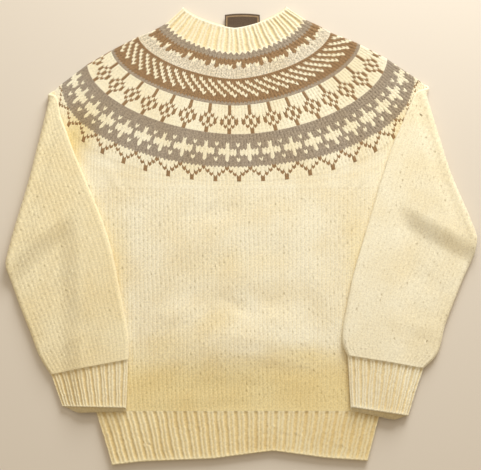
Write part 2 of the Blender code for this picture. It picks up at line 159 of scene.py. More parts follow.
# Stitches round each piece, and rows from its upper end to its lower one
BODY_STITCHES = 140
BODY_ROWS = 71
SLEEVE_STITCHES = 50
SLEEVE_ROWS = 88
HEM_RIBS, HEM_ROWS = 57, 16
CUFF_RIBS, CUFF_ROWS = 21, 17
BAND_RIBS, BAND_ROWS = 32, 10

# The yoke's chart, from the neck down: C cream, B brown, T taupe, O oatmeal. Each band gives its
# stitches round, where its repeat starts, the yarn whose slanting stitches touch if there is one,
# the yarn of most of its last row, and its rows.
PLAIN_TOP = ("TTTTTT", "TTTTTT", "BBBBBB", "BBCBBB", "CBOBCO", "OOOOOO", "OOOOOO", "OOOOOO")
SLANTS = ("BBB", "CBB", "BCB", "BBC", "CBB", "BCB", "BBC", "BBB", "BBB", "TTT")
LOZENGES = (
    "CCBCCC",
    "CCBCCC",
    "CCBCCC",
    "CBCBCC",
    "BCBCBC",
    "BCBCBC",
    "CBCBCC",
    "CCBCCC",
    "CCBCCC",
)
CROSSES_AND_POINTS = (
    "TTTTTT",
    "TTTTTT",
    "TTTTTT",
    "TTCTTC",
    "TTCTTT",
    "CCCCCT",
    "CCCCCT",
    "TTCTTT",
    "TTCTTC",
    "TTTTTT",
    "TTTTTT",
    "CCBCCC",
    "CBCBCC",
    "BCCCBC",
    "CCCCCB",
    "CCCCCB",
    "CCCCCC",
    "CCCCCC",
)
YOKE_BANDS = (
    (96, 2, None, "O", PLAIN_TOP),
    (168, 0, "C", "T", SLANTS),
    (204, 2, None, "C", LOZENGES),
    (240, 0, None, "C", CROSSES_AND_POINTS),
)
YARNS = "CBTO"

# One stitch across: share of its width, how far its outline leans down the rows, and how deep it
# lies in millimetres
STITCH_WALK = (
    (0.00, -0.36, 0.90),
    (0.22, 0.00, 0.00),
    (0.50, 0.36, 0.50),
    (0.78, 0.00, 0.00),
)
# How deep rows, joins and cast-off edges lie, and the depth that counts as a full hollow, where the hollow
# tint paints full shade
ROW_DIP = 0.42
JOIN_DIP = 0.5
EDGE_DIP = 0.3
MOST_SUNK = 1.8
# Half rows that a cast-off edge takes, and over which the last of the yoke stands upright
CAST_OFF = 3.0
UPRIGHT = 5
# How unevenly the stitches are drawn in, moved sideways and moved down, and how that fades in from
# each end and comes back down the rows
PULL = 0.03
JITTER = 0.25
SWAY = 0.3
SWAY_JITTER = 0.06
UNEVEN_FADE = 8
UNEVEN_ROWS = 14
TURN = 6.28
# Share of a round that counts as the fold, how shallow the sleeves' stitches are, and columns round
# the plain skin inside
FOLDED_SHARE = 0.012
SLEEVE_DEPTH = 0.65
INNER_COLUMNS = 72
INNER_ROWS = {"yoke": 18, "body": 20, "sleeve": 60, "rib": 4}
# First seed of each piece's unevenness
SEEDS = {"yoke": 20, "body": 40, "hem": 44, "sleeve": 60, "cuff": 70, "neck": 80}

# One rib across, valley to valley: share of its width, lean, and depth in millimetres
RIB_WALK = (
    (0.00, 0.00, 1.95),
    (0.11, -0.10, 1.60),
    (0.19, -0.30, 0.60),
    (0.27, -0.10, 0.00),
    (0.37, 0.15, 0.35),
    (0.50, 0.45, 1.50),
    (0.63, 0.15, 0.35),
    (0.73, -0.10, 0.00),
    (0.81, -0.30, 0.60),
    (0.89, -0.10, 1.60),
)
# Rows by which the rib ends bite into the yoke's first row, and over how many half rows that fades
RIB_BITE = 0.5
BITE_FADE = 4.0

# Creases raised or sunk in the upper walls: x, y, half_length, half_width, turn, height
BODY_CREASES = (
    (-196, 420, 34, 9, -52, 1.6),
    (-182, 408, 30, 8, -40, -0.9),
    (186, 418, 34, 9, 50, 1.6),
    (172, 408, 30, 8, 40, -0.9),
    (-120, 262, 90, 26, 62, 0.9),
    (118, 250, 96, 28, -66, 1.0),
    (20, 176, 120, 22, -3, 0.8),
    (-40, 90, 150, 16, 3, 0.7),
    (60, 128, 90, 16, -8, -0.7),
    (-35, 364, 70, 22, 4, -0.9),
    (-3, 219, 52, 16, -25, -1.0),
    (-91, 210, 52, 24, 12, 1.2),
    (49, 201, 52, 24, -8, 1.2),
)
SLEEVE_CREASES = (
    (-300, 330, 60, 26, 24, 0.7),
    (-262, 250, 70, 24, 34, -0.6),
    (-232, 190, 80, 24, -64, -1.0),
    (-250, 170, 60, 20, 20, 0.7),
    (300, 330, 64, 26, -30, 0.9),
    (270, 262, 70, 24, -36, -0.7),
    (262, 190, 64, 20, -18, 0.8),
)

LABEL_LEFT, LABEL_RIGHT = -25.0, 31.0
LABEL_BOTTOM, LABEL_TOP = 651.0, 688.0
LABEL_ARCH = 2.2
LABEL_THICKNESS = 0.9
LABEL_CURL = 0.9
CURL_LENGTH = 20.0
LABEL_ENDS, LABEL_PICKS = 60, 44
BORDER_INSET = 2.6
BORDER_WIDTH = 1.9
BORDER_RAISED = 0.12
WEAVE_RAISED = 0.05

# Patches of painted warm shade, most beside the sleeves' inner edges, at the underarms and in the body's
# trough, one lessening it: x, y, half_length, half_width, turn, how much
PAINTED_SHADE_PATCHES = (
    (-196, 270, 150, 44, 88, 0.5),
    (176, 290, 140, 34, 92, 0.45),
    (-20, 285, 130, 32, 4, 0.2),
    (-262, 480, 90, 46, 62, 1.0),
    (256, 480, 80, 34, -62, 0.5),
    (-40, 196, 70, 26, 30, 0.3),
    (-112, 168, 64, 26, 6, 0.4),
    (96, 150, 60, 20, -8, 0.3),
    (8, 158, 40, 16, 0, -0.25),
)
# How much painted shade the lowest part takes, deepening downwards where the light falls off, from which
# y down and over how far, then how much painted shade the sleeves take, the left one more as it lies
# further from the light, and the share of it that the ribs take
PAINTED_SHADE_LOW_MOST = 0.9
PAINTED_SHADE_BELOW = 180.0
PAINTED_SHADE_OVER = 68.0
PAINTED_SHADE_SLEEVES = {"left": 0.45, "right": 0.06}
PAINTED_SHADE_RIBS = 0.55

# Each yarn in the order of YARNS: its share of the heather setting, and its tint of painted shade in the
# hollows between stitches and inside the wall
YARN_LOOKS = {
    "cream": (0.8, (0.90, 0.82, 0.65)),
    "brown": (1.8, (0.62, 0.55, 0.45)),
    "taupe": (2.0, (0.62, 0.58, 0.50)),
    "oatmeal": (2.6, (0.60, 0.53, 0.42)),
}
FLECKS = 420, 4, 0.7
PATCHES = 15, 2, 0.5
PATCH_TINT = (0.96, 0.92, 0.84)
# Tint of the broad painted warm shade
PAINTED_SHADE_TINT = (0.94, 0.84, 0.56)
# Scale and depth in metres of the fibres' relief
FIBRES = ((260, 0.0004), (1300, 0.0004))

# Lights: name, place, size, share of the key light's power
LIGHTS = (("key", (0.6, 1.75, 0.95), 1.2, 1.0), ("fill", (-0.3, 0.6, 1.9), 1.6, 0.10))
LIGHT_COLOUR = (0.94, 0.97, 1.0)
WORLD_COLOUR = (1.0, 0.86, 0.67, 1)
WORLD_STRENGTH = 0.46
FLOOR_COLOUR = (0.72, 0.64, 0.53, 1)
FLOOR_REACH = 3.0
FLOOR_DROP = 0.0006
CAMERA_Y = 75.9
SENSOR_WIDTH = 36.0


def ease(x):
    """A smooth step from 0 to 1."""
    x = np.clip(x, 0.0, 1.0)
    return x * x * (3 - 2 * x)


def spread(points):
    """The same path as evenly spaced points."""
    points = np.asarray(points, float)
    walked = np.concatenate(([0.0], np.cumsum(np.hypot(*np.diff(points, axis=0).T))))
    at = np.linspace(0, walked[-1], DENSE)
    return np.column_stack([np.interp(at, walked, points[:, k]) for k in (0, 1)])


def path_at(path, shares):
    """Points of an evenly spaced path at shares of its length."""
    at = np.asarray(shares) * (len(path) - 1)
    return np.column_stack([np.interp(at, np.arange(len(path)), path[:, k]) for k in (0, 1)])


def arc(left_x, left_y, right_x, right_y, middle_y, power):
    """A sagging arc from a left fold edge to a right one."""
    middle_x = (left_x + right_x) / 2
    turn = np.linspace(0, math.pi / 2, DENSE)
    across = np.sin(turn) ** (2 / power)
    down = np.cos(turn) ** (2 / power)
    left, right = (
        np.column_stack([middle_x + (x - middle_x) * across, y + (middle_y - y) * down])
        for x, y in ((left_x, left_y), (right_x, right_y))
    )
    return spread(np.concatenate([left[::-1], right[1:]]))


def armhole(tip, underarm, side):
    """The seam between yoke and sleeve, bowed outwards."""
    tip, underarm = np.array(tip), np.array(underarm)
    run = underarm - tip
    outward = np.array([-run[1], run[0]]) / np.hypot(*run)
    if outward[0] * side < 0:
        outward = -outward
    t = np.linspace(0, 1, DENSE)[:, None]
    return tip + run * t + outward * ARMHOLE_BULGE * 4 * t * (1 - t)


def join_line():
    """The seam between yoke and body."""
    t = np.linspace(0, 1, DENSE)
    x = LEFT_UNDERARM[0] + (RIGHT_UNDERARM[0] - LEFT_UNDERARM[0]) * t
    return np.column_stack([x, LEFT_UNDERARM[1] + (JOIN_MIDDLE_Y - LEFT_UNDERARM[1]) * 4 * t * (1 - t)])


def yoke_outer_edge(ring):
    """The yoke's outermost ring: left armhole, join to the body straight under the last arc's
    points, right armhole."""
    left = spread(armhole(LEFT_TIP, LEFT_UNDERARM, -1))
    right = spread(armhole(RIGHT_TIP, RIGHT_UNDERARM, 1))[::-1]
    join = join_line()
    points = np.column_stack([ring[:, 0], np.interp(ring[:, 0], join[:, 0], join[:, 1])])
    before = int((ring[:, 0] < LEFT_UNDERARM[0]).sum())
    after = int((ring[:, 0] > RIGHT_UNDERARM[0]).sum())
    points[:before] = path_at(left, np.arange(before) / before)
    points[DENSE - after :] = path_at(right, (1 + np.arange(after)) / after)
    return points


def yoke_ring(rows_down):
    """The yoke's ring at this many rows below the neckband."""
    table = np.array(YOKE_RINGS, float)
    if rows_down <= table[-1, 0]:
        return arc(*(np.interp(rows_down, table[:, 0], column) for column in table[:, 1:].T))
    share = (rows_down - table[-1, 0]) / (YOKE_ROWS - table[-1, 0])
    last = arc(*table[-1, 1:])
    return last * (1 - share) + yoke_outer_edge(last) * share


def bumps(plan, table):
    """Soft raised or sunk creases: each row gives x, y, half_length, half_width, turn, then heights."""
    total = 0.0
    for x, y, half_length, half_width, turn, *heights in table:
        angle = math.radians(turn)
        off_x, off_y = plan[:, 0] - x, plan[:, 1] - y
        along = off_x * math.cos(angle) + off_y * math.sin(angle)
        beside = off_y * math.cos(angle) - off_x * math.sin(angle)
        share = ease(1 - np.abs(along) / half_length) * ease(1 - np.abs(beside) / half_width)
        total = total + share[:, None] * np.array(heights)
    return total


def painted_shade(points):
    """How much painted warm shade the front of the body and yoke takes at points in metres, from 0 to 1."""
    plan = points.reshape(-1, 3)[:, :2] / MM + MIDDLE[:2]
    total = bumps(plan, PAINTED_SHADE_PATCHES)[:, 0] + PAINTED_SHADE_LOW_MOST * ease((PAINTED_SHADE_BELOW - plan[:, 1]) / PAINTED_SHADE_OVER)
    return np.clip(total, 0, 1).reshape(points.shape[:-1])


def body_heights(plan, down):
    """Heights of the body's two walls, with its folds."""
    swell, lift = bumps(plan, BODY_FOLDS).T
    return lift, np.minimum(LAYER + swell, lift + 2 * WALL + MOST_SLIT)


def yoke_heights(plan, down):
    """Heights of the yoke's walls, a little further apart near the neck."""
    high = LAYER + (NECK_LAYER - LAYER) * ease(1 - down * YOKE_ROWS / NECK_FADE_ROWS)
    return np.zeros(len(plan)), high


def flat_heights(thick):
    """Heights of a piece that lies flat."""

    def heights(plan, down):
        return np.zeros(len(plan)), np.full(len(plan), thick)

    return heights


def label_heights(plan, down):
    """Heights of the label's two faces, curled up a little at its free edge."""
    low = WALL + SEAM_GAP + LABEL_CURL * ease((plan[:, 1] - LABEL_TOP + CURL_LENGTH) / CURL_LENGTH)
    return low, low + LABEL_THICKNESS


def body_side(y, column):
    """x of the body's left (1) or right (2) edge at a height up the plan."""
    table = np.array(BODY_SECTIONS, float)[::-1]
    return np.interp(y, table[:, 0], table[:, column])


def body_path(share):
    """A row of the body: share 0 is the join to the yoke, share 1 the top of the hem rib."""
    top = join_line()
    y = top[:, 1] * (1 - share) + BODY_SECTIONS[-1][0] * share
    left, right = body_side(y.mean(), 1), body_side(y.mean(), 2)
    return np.column_stack([left + (right - left) * np.linspace(0, 1, DENSE), y])


def hem_edge():
    """The hem rib's uneven bottom edge."""
    edge_x, edge_y = zip(*HEM_EDGE)
    x = edge_x[0] + (edge_x[-1] - edge_x[0]) * np.linspace(0, 1, DENSE)
    return np.column_stack([x, np.interp(x, edge_x, edge_y)])


def rows_between(first, last, rows):
    """Paths at each half row of a piece, from its first to its last."""
    return [first * (1 - share) + last * share for share in np.linspace(0, 1, 2 * rows + 1)]


class Sleeve:
    """One sleeve's draft, and the fold that lays it over the garment's front."""

    def __init__(self, side, tip, underarm, turn, bow, sections, cuff_end):
        self.side = side
        self.bow = bow
        self.underarm = np.array(underarm)
        self.sections = np.array(sections, float)
        self.cuff_end = np.array(cuff_end, float)
        angle = math.radians(turn)
        self.down = np.array([side * math.sin(angle), -math.cos(angle)])
        self.out = np.array([side * math.cos(angle), math.sin(angle)])
        self.tip = np.array(tip) + self.out * (SEAM_GAP + FOLD_START)
        self.neutral = LAYER / 2 + FOLD_RADIUS
        self.bend = math.pi * self.neutral
        elbow = self.tip + self.down * self.edges(ELBOW_SHARE)[1][0]
        self.under_edge = (self.underarm, elbow)

    def edges(self, share):
        """(upper, lower) edge points at a share of the way from armhole to cuff."""
        at, table = self.sections[:, 0], self.sections[:, 1:]
        slopes = np.gradient(table, at, axis=0)
        k = min(np.searchsorted(at, share, side="right"), len(at) - 1) - 1
        span = at[k + 1] - at[k]
        t = (share - at[k]) / span
        row = (
            table[k] * (2 * t**3 - 3 * t**2 + 1)
            + slopes[k] * span * (t**3 - 2 * t**2 + t)
            + table[k + 1] * (3 * t**2 - 2 * t**3)
            + slopes[k + 1] * span * (t**3 - t**2)
        )
        return row[:2], row[2:]

    def row_path(self, upper, lower, bulge=0.0):
        """A row from its upper end to its lower one, bulging away from the armhole."""
        run = lower - upper
        normal = np.array([-run[1], run[0]]) / np.hypot(*run)
        if normal @ (1.0, 1.0) < 0:
            normal = -normal
        t = np.linspace(0, 1, DENSE)[:, None]
        return upper + run * t + normal * ARMHOLE_BULGE * bulge * 4 * t * (1 - t)

    def rows(self):
        """The sleeve's rows from the armhole to the cuff."""
        shares = np.linspace(0, 1, 2 * SLEEVE_ROWS + 1)
        return [self.row_path(*self.edges(share), ease(1 - 3 * share)) for share in shares]

    def cuff_rows(self):
        """The cuff's rows on its upper wall, and on the wall below, which reaches further: most near
        the fold, less further in."""
        start = np.concatenate(self.edges(1.0))
        run = (self.cuff_end - start)[:2]
        from_fold = np.linspace(1, 0, DENSE)[:, None]
        reach = CUFF_BACK_REACH * ease(from_fold / REACH_RISE) * (1 - REACH_FADE * from_fold)
        fronts, backs = [], []
        for share in np.linspace(0, 1, 2 * CUFF_ROWS + 1):
            row = start * (1 - share) + self.cuff_end * share
            path = self.row_path(row[:2], row[2:])
            fronts.append(path)
            backs.append(path + run / np.hypot(*run) * reach * share)
        return fronts, backs

    def support(self, plan):
        """1 where something lies under the sleeve's upper part, down to 0 on the bare surface."""
        start, end = self.under_edge
        run = (end - start) / np.hypot(*(end - start))
        past = (plan - start) @ (np.array([-run[1], run[0]]) * -self.side)
        column = 1 if self.side < 0 else 2
        beside = (plan[:, 0] - body_side(plan[:, 1], column)) * self.side
        clear = [ease((distance - REST_MARGIN) / REST_SLOPE) for distance in (past, beside)]
        return 1 - clear[0] * clear[1]

    def bowed(self, along, out):
        """How far the fold lies inside a straight line there."""
        lower = self.edges(0)[1]
        from_armhole = (along * -lower[1] + out * lower[0]) / np.hypot(*lower)
        placed = from_armhole, along, -out, out
        faded = [ease((at - start) / over) for at, (start, over) in zip(placed, BOW_FADES)]
        bow = FOLD_START + self.bow * (1 - faded[1])
        return bow * faded[0] * (1 - faded[2]) * (1 - faded[3])

    def laid(self, points):
        """Draft points (along, out, height in the flat sleeve) folded over and laid down."""
        along, out, z = points.T
        axis = LAYER + FOLD_RADIUS
        reach = axis - z
        turn = np.clip(out / self.neutral, 0, math.pi)
        offset = np.minimum(out, 0) + reach * np.sin(turn) - np.maximum(out - self.bend, 0)
        offset = offset - self.bowed(along, out)
        height = axis - reach * np.cos(turn)
        plan = self.tip + along[:, None] * self.down + offset[:, None] * self.out
        carried = (LAYER + STACK_GAP) * self.support(plan)
        settled = ease(out / (2 * self.bend))
        height = height - (LAYER + 2 * FOLD_RADIUS - carried) * settled
        return np.column_stack([plan, height])

    def creased(self, points, draft):
        """Laid points with the creases of the wall that ends on top."""
        over = ease((draft[:, 1] - self.bend) / PUFF_FADE)
        return points + np.outer(bumps(points, SLEEVE_CREASES)[:, 0] * over, (0, 0, 1))

    def heights(self, plan, down):
        """Heights of the flat sleeve's walls. The one that ends on top is puffed out a little."""
        return -SLEEVE_PUFF * ease((plan[:, 1] - PUFF_START) / PUFF_FADE), np.full(len(plan), LAYER)


def walk_round(around, length, radius):
    """Places round a flattened tube, from its left edge over the front: the distance across, and
    the outward direction's part across and part up."""
    quarter = radius * math.pi / 2
    side = length - 2 * radius + 2 * quarter
    turned = (around % 1.0) * 2
    back = turned >= 1
    walked = np.where(back, 2 - turned, turned) * side
    near = np.minimum(walked, side - walked)
    angle = np.clip(near / radius, 0, math.pi / 2)
    from_edge = np.where(near < quarter, radius * (1 - np.cos(angle)), radius + near - quarter)
    first = walked < side / 2
    distance = np.where(first, from_edge, length - from_edge)
    sideways = np.cos(angle) * np.where(first, -1, 1)
    return distance, sideways, np.sin(angle) * np.where(back, -1, 1)


def between(paths, row, share):
    """Points of a stack of paths at fractional rows, which may run past its ends, and shares."""
    r = np.clip(row.astype(int), 0, len(paths) - 2)
    at = share * (DENSE - 1)
    c = np.minimum(at.astype(int), DENSE - 2)
    f, g = (row - r)[:, None], (at - c)[:, None]
    upper = paths[r, c] * (1 - g) + paths[r, c + 1] * g
    lower = paths[r + 1, c] * (1 - g) + paths[r + 1, c + 1] * g
    return upper * (1 - f) + lower * f


class Tube:
    """A flattened knitted tube: the paths of its rows on both walls and the walls' heights.

    A sleeve's tube is folded over by its draft, and a turned over one starts from the other wall.
    wider gives how much wider stitches are in the middle than at the side folds, first at the top
    and then at the bottom.
    """

    def __init__(
        self, front, heights, back=None, sleeve=None, turned_over=False, creases=(), wider=(0, 0)
    ):
        self.front = np.array(front)
        self.back = self.front if back is None else np.array(back)
        self.lengths = np.hypot(*np.moveaxis(np.diff(self.front, axis=1), 2, 0)).sum(axis=1)
        downs = np.linspace(0, 1, len(self.front))
        lows, highs = heights(self.front[:, DENSE // 2], downs)
        self.radii = (highs - lows) / 2
        self.heights = heights
        self.sleeve = sleeve
        self.turned_over = turned_over
        self.creases = creases
        self.wider = wider

    def points(self, around, down, lift):
        """Points in metres at places round and down the tube, moved out by lift millimetres."""
        shape = around.shape
        around, down, lift = around.ravel(), down.ravel(), lift.ravel()
        row = down * (len(self.front) - 1)
        rows = np.arange(len(self.front))
        length = np.interp(row, rows, self.lengths)
        radius = np.interp(row, rows, self.radii)
        distance, sideways, upward = walk_round(around, length, radius)
        share = np.clip((distance + sideways * lift) / length, 0, 1)
        wider = self.wider[0] + (self.wider[1] - self.wider[0]) * ease(5 * down - 4)
        share = share - wider / (2 * math.pi) * np.sin(2 * math.pi * share)
        behind = ((1 - upward) / 2)[:, None]
        plan = between(self.front, row, share) * (1 - behind) + between(self.back, row, share) * behind
        low, high = self.heights(plan, down)
        z = (low + high) / 2 + ((high - low) / 2 + lift) * upward
        if len(self.creases):
            z = z + bumps(plan, self.creases)[:, 0] * np.clip(upward, 0, 1)
        points = np.column_stack([plan, LAYER - z if self.turned_over else z])
        if self.sleeve is not None:
            laid = self.sleeve.laid(points)
            outer = np.clip(-upward if not self.turned_over else upward, 0, 1)
            shifted = self.sleeve.creased(laid, points)
            points = laid + (shifted - laid) * outer[:, None]
        return ((points - MIDDLE) * MM).reshape(*shape, 3)


def unevenness(seed, around, down, falls_most):
    """A hand knitter's slow drift, from -1 to 1, the same on both sides of the seam."""
    random = np.random.RandomState(seed)
    total = np.zeros(around.shape)
    for _ in range(5):
        turns, falls = random.randint(2, 15), random.uniform(0.2, falls_most)
        phase = random.uniform(0, TURN)
        total += np.sin(2 * math.pi * turns * around + falls * down * TURN + phase)
    return total / 5


class Skin:
    """A tube's outer skin of stitches: places round it, points in metres, and how deep each lies.

    walk gives, across one stitch or rib, (share, lean, depth) for each column of points. An end that
    is joined goes straight on into the next piece's stitches, and another ends in a plain cast-off
    edge. span is the part of the tube that it covers, and bite how far its first row reaches in and
    out between the ends of ribs. Over the last levels of an upright end the outline doesn't lean.
    """

    def __init__(
        self,
        tube,
        stitches,
        rows,
        walk,
        seed,
        depth,
        joined,
        wander=0.22,
        span=(0.0, 1.0),
        bite=0.0,
        upright=0,
    ):
        across, lean, depths = np.array(walk).T
        per = len(across)
        column = np.arange(stitches * per)
        place = (column // per + across[column % per]) / stitches
        level = np.arange(2 * rows + 1)
        ends = np.minimum(level, 2 * rows - level)
        to_end = np.minimum(level + CAST_OFF * joined[0], 2 * rows - level + CAST_OFF * joined[1])
        shown = np.clip(to_end / CAST_OFF, 0, 1)[:, None]
        inner = ease(ends / UNEVEN_FADE)[:, None]
        around = np.broadcast_to(place, (len(level), len(column)))
        down = np.broadcast_to((level / 2 / rows)[:, None], around.shape)
        random = np.random.RandomState(seed)

        def for_each_stitch(spread_by):
            made = random.normal(0, spread_by, (rows + 1, stitches))
            return np.repeat(np.repeat(made, 2, 0)[:-1], per, 1)

        dips = ROW_DIP * (level % 2 == 0)[:, None]
        relief = depths[column % per] + dips + np.abs(for_each_stitch(PULL)) * inner
        relief[[0, -1]] = JOIN_DIP
        drift = wander * unevenness(seed + 1, around, down, rows / UNEVEN_ROWS) * inner
        sway = SWAY * unevenness(seed + 2, around, down, rows / UNEVEN_ROWS) * inner
        drift = drift + for_each_stitch(JITTER * wander) * inner
        sway = sway + for_each_stitch(SWAY_JITTER) * inner
        leans = (ends > 0) & (2 * rows - level >= upright)
        leaning = lean[column % per] * shown * leans[:, None]
        bitten = np.clip(1 - level / BITE_FADE, 0, 1)[:, None]
        biting = -bite * np.cos(4 * math.pi * BAND_RIBS * place) * bitten
        down = down + (leaning + sway + biting) / rows
        self.sunk = depth * (relief * shown + EDGE_DIP * (1 - shown))
        self.around = around + drift / stitches
        self.points = tube.points(self.around, span[0] + down * (span[1] - span[0]), -self.sunk)

    def meet(self, other, row, places, here=slice(None)):
        """Draws the first row of points on to a row of another skin, at places round that one."""
        at, edge = places[here], other.around[row]
        for k in range(3):
            self.points[0, here, k] = np.interp(at, edge, other.points[row, :, k], period=1.0)
        self.sunk[0, here] = np.interp(at, edge, other.sunk[row], period=1.0)


def zipped(outer, inner):
    """Triangles between two closed loops of point numbers that start at the same place."""
    faces, i, j = [], 0, 0
    while i < len(outer) or j < len(inner):
        here = (outer[i % len(outer)], inner[j % len(inner)])
        if j == len(inner) or (i < len(outer) and (i + 1) * len(inner) <= (j + 1) * len(outer)):
            i += 1
            faces.append((*here, outer[i % len(outer)]))
        else:
            j += 1
            faces.append((*here, inner[j % len(inner)]))
    return faces


class Shell:
    """Points and faces of one piece, gathered skin by skin."""

    def __init__(self):
        self.points = []
        self.hollows = []
        self.painted_shades = []
        self.count = 0
        self.quads = []
        self.tints = []
        self.triangles = []
        self.rim_tints = []
        self.smooth = []

    def skin(self, points, tints, hollows=0.0, inward=False, painted_shade_amount=0.0):
        """Adds a closed band of quads and returns its first and last loops."""
        rows, columns = points.shape[:2]
        numbers = self.count + np.arange(rows * columns).reshape(rows, columns)
        self.points.append(points.reshape(-1, 3))
        # Per point: how much painted shade the hollow tint gives (on the label, its ground), and how much
        # broad painted warm shade
        self.hollows.append(np.broadcast_to(hollows, (rows, columns)).ravel())
        self.painted_shades.append(np.broadcast_to(painted_shade_amount, (rows, columns)).ravel())
        self.count += rows * columns
        following = np.roll(numbers, -1, axis=1)
        quads = np.stack([numbers[:-1], numbers[1:], following[1:], following[:-1]], axis=-1)
        if inward:
            quads = quads[..., ::-1]
        self.quads.append(quads.reshape(-1, 4))
        self.tints.append(np.broadcast_to(tints, quads.shape[:2]).ravel())
        return numbers[0].tolist(), numbers[-1].tolist()

    def rim(self, faces, flip, tint=0, crisp=True):
        """Adds a rim's triangles. A crisp rim leaves the shading of the skins alone."""
        self.triangles += [face[::-1] for face in faces] if flip else faces
        self.rim_tints += [tint] * len(faces)
        self.smooth += [not crisp] * len(faces)

    def close(self, outer, inner, flip, tint=0, crisp=True):
        """Adds the rim between two loops."""
        self.rim(zipped(outer, inner), flip, tint, crisp)

    def pinch(self, loop, flip):
        """Closes the end of a flat tube on itself."""
        last = len(loop) - 1
        faces = []
        for k in range(len(loop) // 2 - 1):
            faces.append((loop[k], loop[k + 1], loop[last - 1 - k]))
            faces.append((loop[k], loop[last - 1 - k], loop[last - k]))
        self.rim(faces, flip)

    def piece(self, name, node, flat, area, held, yarns=("cream_yarn",), slot="cream_wool"):
        points = np.concatenate(self.points)
        quads = np.concatenate(self.quads)
        triangles = np.array(self.triangles, int).reshape(-1, 3)
        split = np.concatenate([quads[:, :3], quads[:, [0, 2, 3]], triangles])
        a, b, c = (points[split[:, k]] for k in range(3))
        if (a * np.cross(b, c)).sum() < 0:
            quads, triangles = quads[:, ::-1], triangles[:, ::-1]
        mesh = bpy.data.meshes.new(name)
        mesh.from_pydata(points.tolist(), [], quads.tolist() + triangles.tolist())
        tints = np.concatenate([*self.tints, self.rim_tints])
        mesh.polygons.foreach_set("material_index", tints.astype(np.int32))
        # The painted shade of the hollows (the label's ground on the label) and the broad painted warm shade
        # go to the material as point attributes
        for key, values in (("hollow", self.hollows), ("painted_shade", self.painted_shades)):
            held_by = mesh.attributes.new(key, "FLOAT", "POINT")
            held_by.data.foreach_set("value", np.concatenate(values).astype(np.float32))
        smooth = np.concatenate([np.ones(len(quads), bool), np.array(self.smooth, bool)])
        mesh.polygons.foreach_set("use_smooth", smooth)
        edges = np.empty(len(mesh.loops), np.int32)
        mesh.loops.foreach_get("edge_index", edges)
        creased = np.zeros(len(mesh.edges), bool)
        creased[edges[4 * len(quads) :][np.repeat(~smooth[len(quads) :], 3)]] = True
        mesh.attributes.new("sharp_edge", "BOOLEAN", "EDGE").data.foreach_set("value", creased)
        for spun in yarns:
            mesh.materials.append(bpy.data.materials[spun])
        piece = bpy.data.objects.new(name, mesh)
        bpy.context.scene.collection.objects.link(piece)
        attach(piece, "root")
        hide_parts(node)


def inner_skin(shell, tube, rows, top, bottom, cast_off=False):
    """The plain skin inside a tube's wall, and the rims that join it to the outer skin's loops."""
    around, down = np.meshgrid(np.arange(INNER_COLUMNS) / INNER_COLUMNS, np.linspace(0, 1, rows + 1))
    # The inside of the wall takes the full hollow tint as painted shade
    first, last = shell.skin(tube.points(around, down, np.full(around.shape, -WALL)), 0, 1.0, inward=True)
    shell.close(top, first, flip=True)
    shell.close(bottom, last, flip=False, crisp=not cast_off)


def plain_tube(tube, skin, inner_rows, painted_shade_amount, cast_off=False):
    """A whole tube in one yarn, from its outer skin."""
    shell = Shell()
    # The outer skin takes painted shade in its hollows by how deep each point lies, and broad painted warm
    # shade as given
    top, bottom = shell.skin(skin.points, 0, skin.sunk / MOST_SUNK, painted_shade_amount=painted_shade_amount)
    inner_skin(shell, tube, inner_rows, top, bottom, cast_off)
    return shell


def ribbed_skin(tube, ribs, rows, seed, depth, bite=0.0):
    """Knit 1 purl 1 ribs that go on from another piece and end cast off."""
    return Skin(tube, ribs, rows, RIB_WALK, seed, depth, (True, False), 0.09, bite=bite)


def yoke_skins(depth):
    """The yoke's tube, and the skin of each of its bands from the neck down, each on to the next."""
    rings = [yoke_ring(row) for row in np.linspace(0, YOKE_ROWS, 2 * YOKE_ROWS + 1)]
    tube = Tube(rings, yoke_heights, creases=BODY_CREASES, wider=(YOKE_WIDER_MIDDLE, 0))
    skins, done = [], 0
    for number, (stitches, _, _, _, chart) in enumerate(YOKE_BANDS):
        span = (done / YOKE_ROWS, (done + len(chart)) / YOKE_ROWS)
        bite = 0 if number else RIB_BITE
        upright = UPRIGHT if number == len(YOKE_BANDS) - 1 else 0
        skin = Skin(
            tube,
            stitches,
            len(chart),
            STITCH_WALK,
            SEEDS["yoke"] + number,
            depth,
            (True, True),
            span=span,
            bite=bite,
            upright=upright,
        )
        if skins:
            skin.meet(skins[-1], -1, skin.around[0])
        skins.append(skin)
        done += len(chart)
    return tube, skins


def body_skin(depth):
    """The body's tube and its skin, whose first stitches go on from the yoke's last."""
    paths = [body_path(share) for share in np.linspace(0, 1, 2 * BODY_ROWS + 1)]
    tube = Tube(paths, body_heights, creases=BODY_CREASES)
    skin = Skin(tube, BODY_STITCHES, BODY_ROWS, STITCH_WALK, SEEDS["body"], depth, (True, True))
    yoke = yoke_skins(depth)[1][-1]
    flat = np.abs((skin.around[0] * 2) % 1.0 - 0.5) < 0.5 - FOLDED_SHARE
    for behind in (False, True):
        there = (yoke.around[-1] >= 0.5) == behind
        edge, around = yoke.points[-1][there], yoke.around[-1][there]
        order = np.argsort(edge[:, 0])
        places = np.interp(skin.points[0, :, 0], edge[order, 0], around[order])
        skin.meet(yoke, -1, places, flat & ((skin.around[0] >= 0.5) == behind))
    return tube, skin


def charted(chart, start, stitches, figure):
    """Yarn numbers for each face of a charted band. Slanting stitches of the figure's yarn touch."""
    repeat = [[YARNS.index(row[(k + start) % len(row)]) for k in range(stitches)] for row in chart]
    rows = np.array(repeat)
    faces = np.repeat(np.repeat(rows, 2, axis=0), 4, axis=1)
    if figure is None:
        return faces
    yarn_number = YARNS.index(figure)
    is_figure = rows == yarn_number
    for side in (1, -1):
        below = np.roll(is_figure[1:], -side, axis=1)
        bare = ~np.roll(is_figure[:-1], -side, axis=1) & ~is_figure[1:]
        row, column = np.nonzero(is_figure[:-1] & below & bare)
        beside = (4 * column + (4 if side > 0 else -1)) % (4 * stitches)
        faces[2 * row + 1, beside] = yarn_number
        under = 4 * column + (3 if side > 0 else 0)
        faces[2 * row + 2, under] = yarn_number
    return faces


